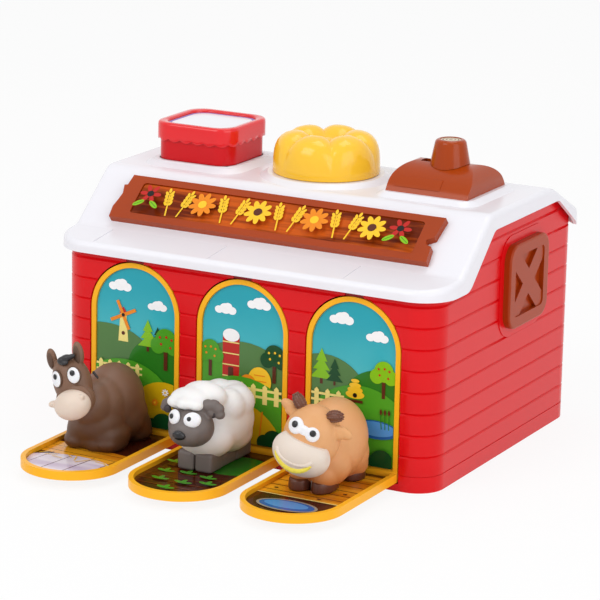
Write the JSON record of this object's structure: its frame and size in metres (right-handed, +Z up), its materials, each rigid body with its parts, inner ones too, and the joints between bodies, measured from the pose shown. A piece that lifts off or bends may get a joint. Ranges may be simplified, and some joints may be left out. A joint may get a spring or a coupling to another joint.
{
  "type": "interactive farm toy",
  "caption": "Toy barn whose stall doors fold down with farm animals on them, tripped by a push button, a twist knob and a sliding stump on the roof.",
  "frame": {"origin": "middle of the barn's footprint on the floor", "axes": "+X to the right along the barn's front, -Y out of the front towards the child, +Z up"},
  "size_m": [0.302, 0.3537, 0.217],
  "materials": {
    "barn_red": "gloss",
    "base_red": "satin",
    "roof_white": "gloss",
    "inner_grey": "satin",
    "sign_brown": "gloss",
    "sign_print": "satin",
    "window_brown": "gloss",
    "button_red": "gloss",
    "print_card": "satin",
    "knob_yellow": "gloss",
    "log_brown": "gloss",
    "donkey_vinyl": "matte",
    "sheep_vinyl": "matte",
    "bull_vinyl": "matte",
    "steel": "satin",
    "flap_yellow": "gloss",
    "scene_card": "satin",
    "ground_card": "satin"
  },
  "bodies": {
    "barn": {"barn_shell": "barn_red", "base_plate": "base_red", "roof_shell": "roof_white", "mechanism_tray": "inner_grey", "sign_board": "sign_brown", "sign_inlay": "sign_print", "side_window_left": "window_brown", "side_window_right": "window_brown", "log_housing": "log_brown", "button_spring": "steel", "knob_spring": "steel", "carriage_spring": "steel", "base_screws": "steel", "shelf_screws": "steel", "roof_screws": "steel", "log_screws": "steel", "hinge_pin_left": "steel", "flap_spring_left": "steel", "latch_pin_left": "steel", "latch_spring_left": "steel", "hinge_pin_middle": "steel", "flap_spring_middle": "steel", "latch_pin_middle": "steel", "latch_spring_middle": "steel", "hinge_pin_right": "steel", "flap_spring_right": "steel", "latch_pin_right": "steel", "latch_spring_right": "steel"},
    "push_button": {"button_cap": "button_red", "button_stem": "button_red", "button_card": "print_card"},
    "knob": {"twist_knob": "knob_yellow", "knob_cam": "inner_grey", "knob_screw": "steel"},
    "slider": {"stump": "log_brown", "stump_card": "print_card", "slider_carriage": "inner_grey", "carriage_screw": "steel"},
    "door_left": {"door_flap_left": "flap_yellow", "backdrop_card_left": "scene_card", "tray_card_left": "ground_card", "animal_screws_left": "steel", "donkey": "donkey_vinyl"},
    "latch_left": {"latch_lever_left": "inner_grey"},
    "door_middle": {"door_flap_middle": "flap_yellow", "backdrop_card_middle": "scene_card", "tray_card_middle": "ground_card", "animal_screws_middle": "steel", "sheep": "sheep_vinyl"},
    "latch_middle": {"latch_lever_middle": "inner_grey"},
    "door_right": {"door_flap_right": "flap_yellow", "backdrop_card_right": "scene_card", "tray_card_right": "ground_card", "animal_screws_right": "steel", "bull": "bull_vinyl"},
    "latch_right": {"latch_lever_right": "inner_grey"}
  },
  "joints": [
    {"name": "door_left_hinge", "type": "hinge", "parent": "barn", "child": "door_left", "pos_m": [-0.08485, -0.1125, 0.01], "axis": [-1, 0, 0], "range_deg": [0, 90], "stiffness_Nm_per_rad": 0.03, "springref_deg": -34.38, "deforming": ["flap_spring_left"]},
    {"name": "door_middle_hinge", "type": "hinge", "parent": "barn", "child": "door_middle", "pos_m": [0, -0.1125, 0.01], "axis": [-1, 0, 0], "range_deg": [0, 90], "stiffness_Nm_per_rad": 0.03, "springref_deg": -34.38, "deforming": ["flap_spring_middle"]},
    {"name": "door_right_hinge", "type": "hinge", "parent": "barn", "child": "door_right", "pos_m": [0.08485, -0.1125, 0.01], "axis": [-1, 0, 0], "range_deg": [0, 90], "stiffness_Nm_per_rad": 0.03, "springref_deg": -34.38, "deforming": ["flap_spring_right"]},
    {"name": "button_press", "type": "slide", "parent": "barn", "child": "push_button", "axis": [0, 0, -1], "range_m": [0, 0.006], "stiffness_N_per_m": 400, "springref_m": -0.004, "deforming": ["button_spring"]},
    {"name": "knob_twist", "type": "hinge", "parent": "barn", "child": "knob", "pos_m": [0, 0.003, 0.18], "axis": [0, 0, -1], "range_deg": [0, 60], "stiffness_Nm_per_rad": 0.05, "springref_deg": -17.19, "deforming": ["knob_spring"]},
    {"name": "stump_slide", "type": "slide", "parent": "barn", "child": "slider", "axis": [-1, 0, 0], "range_m": [0, 0.016], "stiffness_N_per_m": 150, "springref_m": -0.005, "deforming": ["carriage_spring"]},
    {"name": "latch_left_rock", "type": "hinge", "parent": "barn", "child": "latch_left", "pos_m": [-0.08485, -0.096, 0.136], "axis": [-1, 0, 0], "range_deg": [0, 5], "deforming": ["latch_spring_left"]},
    {"name": "latch_middle_rock", "type": "hinge", "parent": "barn", "child": "latch_middle", "pos_m": [0, -0.096, 0.136], "axis": [-1, 0, 0], "range_deg": [0, 5], "deforming": ["latch_spring_middle"]},
    {"name": "latch_right_rock", "type": "hinge", "parent": "barn", "child": "latch_right", "pos_m": [0.08485, -0.096, 0.136], "axis": [-1, 0, 0], "range_deg": [0, 5], "deforming": ["latch_spring_right"]}
  ],
  "couplings": [
    {"joint": "latch_left_rock", "follows": "button_press", "rad_per_m": 13.158},
    {"joint": "latch_middle_rock", "follows": "knob_twist", "ratio": 0.0754},
    {"joint": "latch_right_rock", "follows": "stump_slide", "rad_per_m": 4.054}
  ]
}
